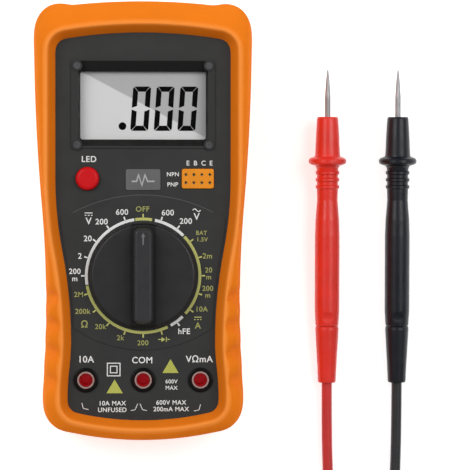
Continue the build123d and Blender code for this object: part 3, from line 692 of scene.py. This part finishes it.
def text_mesh(words, z, thickness=INK):
    """One mesh of several texts; each is (text, x, y, height) in millimetres, centred at x, y."""
    form = bmesh.new()
    for text, x, y, height in words:
        curve = bpy.data.curves.new("word", "FONT")
        curve.body = text
        curve.size = height * MM / 0.72
        curve.align_x = "CENTER"
        curve.align_y = "CENTER"
        curve.extrude = thickness / 2
        curve.offset = 0.018 * height * MM
        curve.space_character = 1.08
        word = bpy.data.objects.new("word", curve)
        bpy.context.scene.collection.objects.link(word)
        bpy.context.view_layer.update()
        seen = word.evaluated_get(bpy.context.evaluated_depsgraph_get())
        mesh = bpy.data.meshes.new_from_object(seen)
        mesh.transform(Matrix.Translation((x * MM, y * MM, z + thickness / 2)))
        form.from_mesh(mesh)
        bpy.data.objects.remove(word)
        bpy.data.meshes.remove(mesh)
    bmesh.ops.remove_doubles(form, verts=form.verts, dist=1e-7)
    made = bpy.data.meshes.new("text")
    form.to_mesh(made)
    form.free()
    return made


def arc_band(inner, outer, start, end):
    """Corners of a ring segment about the dial, its angles in degrees clockwise from the top."""
    steps = max(2, round(abs(end - start) / 3))
    angles = [radians(start + (end - start) * i / steps) for i in range(steps + 1)]
    centre_y = DIAL.y / MM
    rim = [(outer * sin(a), centre_y + outer * cos(a)) for a in angles]
    return rim + [(inner * sin(a), centre_y + inner * cos(a)) for a in reversed(angles)]


def stroke(points, width):
    """Corners of one thin line through some points, mitred where it bends."""
    points = [Vector(p) for p in points]
    ways = [(b - a).normalized() for a, b in zip(points, points[1:])]
    left, right = [], []
    for i, point in enumerate(points):
        before, after = ways[max(i - 1, 0)], ways[min(i, len(ways) - 1)]
        across = (before + after).normalized().orthogonal()
        reach = width / 2 / max(across.dot(before.orthogonal()), 0.4)
        if points[0] == points[-1] and i in (0, len(points) - 1):
            across = (ways[-1] + ways[0]).normalized().orthogonal()
            reach = width / 2 / max(across.dot(ways[0].orthogonal()), 0.4)
        left.append(tuple(point + across * reach))
        right.append(tuple(point - across * reach))
    if points[0] == points[-1]:
        return [[left[i], left[i + 1], right[i + 1], right[i]] for i in range(len(points) - 1)]
    return [left + right[::-1]]


RING_R = (18.4, 19.35)
TICK_R = 20.6
WHITE_ARCS = [(12, 45), (136, 151), (261, 351)]
YELLOW_ARCS = [(-8, 9), (46.5, 132), (154.5, 260)]
WHITE_TICKS = [18, 36, 144, 270, 288, 306, 324, 342]
YELLOW_TICKS = [0, 54, 72, 90, 108, 126, 162, 180, 198, 216, 234, 252]
WHITE_LABELS = [
    ("600", 8.2, 2.6, 1.9), ("200", 14.2, -0.2, 1.9), ("hFE", 13.6, -36.9, 1.9),
    ("200", -22.7, -16.9, 1.8), ("m", -22.7, -19.3, 1.8), ("2", -21.0, -11.8, 1.9),
    ("20", -18.4, -6.0, 1.9), ("200", -13.8, -0.4, 1.9), ("600", -7.0, 2.8, 1.9),
    ("V", 17.8, 1.3, 2.3), ("V", -18.1, -0.2, 2.3),
]
YELLOW_LABELS = [
    ("OFF", -0.2, 3.8, 1.8), ("BAT", 19.4, -4.1, 1.4), ("1.5V", 19.6, -6.3, 1.4), ("2m", 21.4, -11.8, 1.8),
    ("20", 21.8, -16.5, 1.7), ("m", 21.8, -18.8, 1.7), ("200", 21.5, -22.6, 1.7), ("m", 21.5, -24.9, 1.7),
    ("10A", 19.4, -29.5, 1.7), ("A", 18.2, -35.0, 2.1), ("200", -0.1, -40.7, 1.7), ("2k", -7.6, -39.0, 1.7),
    ("20k", -14.2, -35.3, 1.7), ("200k", -20.1, -30.2, 1.7), ("2M", -21.4, -24.6, 1.7),
    ("Ω", -19.5, -34.5, 2.3),
]
FACE_LABELS = [
    ("LED", -18.0, 20.4, 2.0), ("E", 14.9, 19.1, 1.6), ("B", 17.4, 19.1, 1.6), ("C", 20.1, 19.1, 1.6),
    ("E", 22.6, 19.1, 1.6), ("NPN", 9.9, 15.4, 1.4), ("PNP", 9.8, 12.0, 1.4),
    ("10A", -19.05, -46.2, 2.2), ("COM", -0.3, -46.5, 2.1), ("VΩmA", 18.7, -46.2, 2.2),
    ("600V", 9.4, -53.6, 1.3), ("MAX", 9.4, -55.7, 1.3),
    ("10A MAX", -10.3, -60.8, 1.5), ("UNFUSED", -10.3, -63.0, 1.5),
    ("600V MAX", 9.3, -60.6, 1.5), ("200mA MAX", 9.3, -62.8, 1.5),
]


def dash_marks(x, y, width):
    """A solid line over a dashed one, which stands for direct current."""
    dash = width / 5
    rows = stroke([(x - width / 2, y + 0.5), (x + width / 2, y + 0.5)], 0.28)
    for i in (-2, 0, 2):
        rows += stroke([(x + i * dash - dash / 2, y - 0.3), (x + i * dash + dash / 2, y - 0.3)], 0.28)
    return rows


def wave_mark(x, y, width):
    """One cycle of a wave, which stands for alternating current."""
    points = [(x + width * (i / 12 - 0.5), y + 0.45 * sin(2 * pi * i / 12)) for i in range(13)]
    return stroke(points, 0.3)


def square_outline(x, y, size, width):
    half = size / 2
    corners = [(x - half, y - half), (x + half, y - half), (x + half, y + half), (x - half, y + half)]
    return stroke([*corners, corners[0]], width)


def dial_marks(arcs, ticks):
    marks = [arc_band(*RING_R, start, end) for start, end in arcs]
    for tick in ticks:
        half = 0.7
        marks.append(arc_band(RING_R[1] - 0.1, TICK_R, tick - half, tick + half))
    return marks


def diode_mark(x, y):
    size = 0.8
    triangle = [(x - size, y + size), (x - size, y - size), (x + size * 0.6, y)]
    bar = stroke([(x + size, y + size), (x + size, y - size)], 0.3)
    leads = stroke([(x - 1.9, y), (x - size, y)], 0.28) + stroke([(x + size, y), (x + 1.9, y)], 0.28)
    return [triangle] + bar + leads


def make_printing():
    white = dial_marks(WHITE_ARCS, WHITE_TICKS) + wave_mark(17.8, 3.5, 2.6) + dash_marks(-18.1, 2.1, 2.6)
    yellow = dial_marks(YELLOW_ARCS, YELLOW_TICKS) + dash_marks(18.2, -32.6, 2.4) + diode_mark(6.9, -39.5)
    add_piece("dial_print_white", flat_mesh(white, PAD_Z), material="ink_white")
    add_piece("dial_print_yellow", flat_mesh(yellow, PAD_Z), material="ink_yellow")
    add_piece("dial_numbers_white", text_mesh(WHITE_LABELS, PAD_Z), material="ink_white")
    add_piece("dial_numbers_yellow", text_mesh(YELLOW_LABELS, PAD_Z), material="ink_olive")
    add_piece("face_numbers", text_mesh(FACE_LABELS, FACE_Z), material="ink_white")
    marks = square_outline(-9.8, -49.5, 4.2, 0.32) + square_outline(-9.8, -49.5, 2.2, 0.32)
    marks += stroke([(-20.4, -60.6), (-19.9, -62.4), (-18.2, -62.8)], 0.2)
    marks += stroke([(-4.1, -63.2), (-2.7, -62.9), (-1.8, -60.9)], 0.2)
    marks += stroke([(1.2, -63.2), (-0.2, -62.9), (-1.1, -60.9)], 0.2)
    marks += stroke([(19.1, -61.2), (18.6, -63.0), (16.9, -63.4)], 0.2)
    add_piece("face_marks", flat_mesh(marks, FACE_Z), material="ink_white")
    places = ((-9.5, -55.2), (9.1, -48.5))
    triangles = [[(x - 2.7, y - 2.2), (x + 2.7, y - 2.2), (x, y + 2.4)] for x, y in places]
    add_piece("face_triangles", flat_mesh(triangles, FACE_Z), material="ink_lemon")


PAD_ARC_Y = -41.1
PAD_ARC_R = (49.5, 49.85)
PAD_ARC_HALF = 28
PAD_ARC_STEPS = 40


def make_pad_edge_highlight():
    """A painted highlight along the raised zone's upper edge, as a thin lighter arc."""
    centre_y, (inner, outer) = PAD_ARC_Y, PAD_ARC_R
    turn = 2 * PAD_ARC_HALF / PAD_ARC_STEPS
    angles = [radians(turn * i - PAD_ARC_HALF) for i in range(PAD_ARC_STEPS + 1)]
    rim = [(outer * sin(a), centre_y + outer * cos(a)) for a in angles]
    rim += [(inner * sin(a), centre_y + inner * cos(a)) for a in reversed(angles)]
    add_piece("pad_edge", flat_mesh([rim], PAD_Z), material="pad_highlight_paint")


def make_plate_mark():
    """A plain pulse line on the name plate."""
    low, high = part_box("name_plate")
    x, y = (low.x + high.x) / 2 / MM, (low.y + high.y) / 2 / MM
    points = [(-3.8, -0.6), (-2.2, -0.6), (-1.5, 1.5), (-0.4, -1.9), (0.6, 1.5), (1.5, -0.6), (3.8, -0.6)]
    pulse = stroke([(x + px, y + py) for px, py in points], 0.5)
    add_piece("name_plate_mark", flat_mesh(pulse, high.z), material="ink_light")


make_printing()
make_pad_edge_highlight()
make_plate_mark()


# Display

def zero_digit(x, y, width, height, thick, slant):
    """A seven-segment zero: six bars with pointed ends, leaning to the right."""
    gap = 0.07
    half_w, half_h = width / 2, height / 2
    inner_w, bars = half_w - thick, []
    for side in (-1, 1):
        bars.append([
            (side * half_w, 4 * gap), (side * half_w, half_h - 0.6), (side * (half_w - 0.35), half_h - 0.2),
            (side * inner_w, half_h - thick - gap), (side * inner_w, thick / 2 + gap),
        ])
        bars.append([
            (side * half_w, -4 * gap), (side * half_w, 0.6 - half_h), (side * (half_w - 0.35), 0.2 - half_h),
            (side * inner_w, gap + thick - half_h), (side * inner_w, -thick / 2 - gap),
        ])
        end = side * half_h
        bars.append([
            (-half_w + 0.45, end), (half_w - 0.45, end),
            (inner_w - gap, end - side * thick), (gap - inner_w, end - side * thick),
        ])
    return [[(x + px + slant * py, y + py) for px, py in bar] for bar in bars]


def make_display_reading():
    shapes = []
    for x in (-0.8, 7.05, 14.95):
        shapes += zero_digit(x, 37.45, 6.0, 14.8, 1.72, 0.07)
    dot = [(-6.9 + 1.3 * cos(2 * pi * i / 24), 31.6 + 1.3 * sin(2 * pi * i / 24)) for i in range(24)]
    add_piece("display_digits", flat_mesh([*shapes, dot], GLASS_Z), material="ink_black")


make_display_reading()


# Spring under the button

SPRING_WIRE_R = 0.18
SPRING_TURNS = 8 / 3


def make_button_spring():
    """A coiled wire spring that stands in for the button's CAD spring."""
    low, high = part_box("button_spring")
    middle = (low + high) / 2 / MM
    radius = (high.x - low.x) / 2 / MM - SPRING_WIRE_R
    start_z, rise = low.z / MM + SPRING_WIRE_R, (high.z - low.z) / MM - 2 * SPRING_WIRE_R
    steps, sides = round(SPRING_TURNS * 24), 8
    form = bmesh.new()
    rings = []
    for i in range(steps + 1):
        angle = 2 * pi * SPRING_TURNS * i / steps
        ring = []
        for k in range(sides):
            around = 2 * pi * k / sides
            reach = radius + SPRING_WIRE_R * cos(around)
            height = start_z + rise * i / steps + SPRING_WIRE_R * sin(around)
            place = (middle.x + reach * cos(angle), middle.y + reach * sin(angle), height)
            ring.append(form.verts.new(Vector(place) * MM))
        rings.append(ring)
    for here, after in zip(rings, rings[1:]):
        for k in range(sides):
            j = (k + 1) % sides
            form.faces.new((here[k], after[k], after[j], here[j]))
    form.faces.new(rings[0])
    form.faces.new(rings[-1][::-1])
    bmesh.ops.recalc_face_normals(form, faces=form.faces)
    mesh = bpy.data.meshes.new("button_spring_coil")
    form.to_mesh(mesh)
    form.free()
    mesh.shade_smooth()
    spring = add_piece("button_spring_coil", mesh, material="spring_steel")
    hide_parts("button_spring")
    height = high.z - low.z
    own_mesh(spring)


make_button_spring()


# Pointer on the selector

def make_pointer():
    tip, foot = DIAL.y / MM + 14.3, DIAL.y / MM + 10.3
    arrow = [(-0.22, foot), (0.22, foot), (0.3, tip - 1.2), (0.75, tip - 1.4), (0, tip)]
    arrow += [(-0.75, tip - 1.4), (-0.3, tip - 1.2)]
    mesh = flat_mesh([arrow], KNOB_TOP_Z, POINTER_INK)
    add_piece("selector_pointer", mesh, "selector", "ink_grey")


make_pointer()


# Floor and light

FLOOR_GLOW = 0.56
WORLD_STRENGTH = (0.85, 0.30)


def make_floor():
    mesh = bpy.data.meshes.new("floor")
    form = bmesh.new()
    bmesh.ops.create_grid(form, x_segments=24, y_segments=24, size=6.0)
    form.to_mesh(mesh)
    form.free()
    floor = bpy.data.objects.new("floor", mesh)
    floor.location.z = -0.2 * MM
    bpy.context.scene.collection.objects.link(floor)
    surface = Surface(
        "floor", (0.86, 0.86, 0.86), 0.6, Specular_IOR_Level=0.1,
        Emission_Color=(1.0, 1.0, 1.0, 1.0), Emission_Strength=FLOOR_GLOW,
    )
    surface.colour_from(surface.noise(400.0), (0.85, 0.85, 0.85), (0.88, 0.88, 0.88))
    surface.roughness_from(surface.noise(60.0), 0.5, 0.6)
    paint(floor, surface.material)


def area_light(name, place, aim, size, power):
    data = bpy.data.lights.new(name, "AREA")
    data.shape = "RECTANGLE"
    data.size, data.size_y = size
    data.energy = power
    light = bpy.data.objects.new(name, data)
    light.location = place
    light.rotation_euler = (Vector(aim) - Vector(place)).to_track_quat("-Z", "Y").to_euler()
    bpy.context.scene.collection.objects.link(light)


def make_world():
    """A dim, even studio with a paler band at the horizon."""
    world = bpy.data.worlds.new("studio")
    world.use_nodes = True
    tree = world.node_tree
    coords = tree.nodes.new("ShaderNodeTexCoord")
    split = tree.nodes.new("ShaderNodeSeparateXYZ")
    height = tree.nodes.new("ShaderNodeMapRange")
    height.inputs["From Min"].default_value = 0.03
    height.inputs["From Max"].default_value = 0.30
    height.inputs["To Min"].default_value = WORLD_STRENGTH[0]
    height.inputs["To Max"].default_value = WORLD_STRENGTH[1]
    tree.links.new(coords.outputs["Generated"], split.inputs[0])
    tree.links.new(split.outputs["Z"], height.inputs["Value"])
    tree.links.new(height.outputs["Result"], tree.nodes["Background"].inputs["Strength"])
    tree.nodes["Background"].inputs["Color"].default_value = (0.99, 0.995, 1.0, 1.0)
    bpy.context.scene.world = world


def make_lights():
    area_light("left", (-0.76, 0.5, 1.2), (0, 0, 0), (0.9, 0.9), 10.4)
    area_light("right", (0.84, 0.36, 1.2), (0.03, 0, 0), (0.9, 0.9), 9.6)


make_world()
make_floor()
make_lights()
bpy.context.scene.view_settings.view_transform = "Standard"
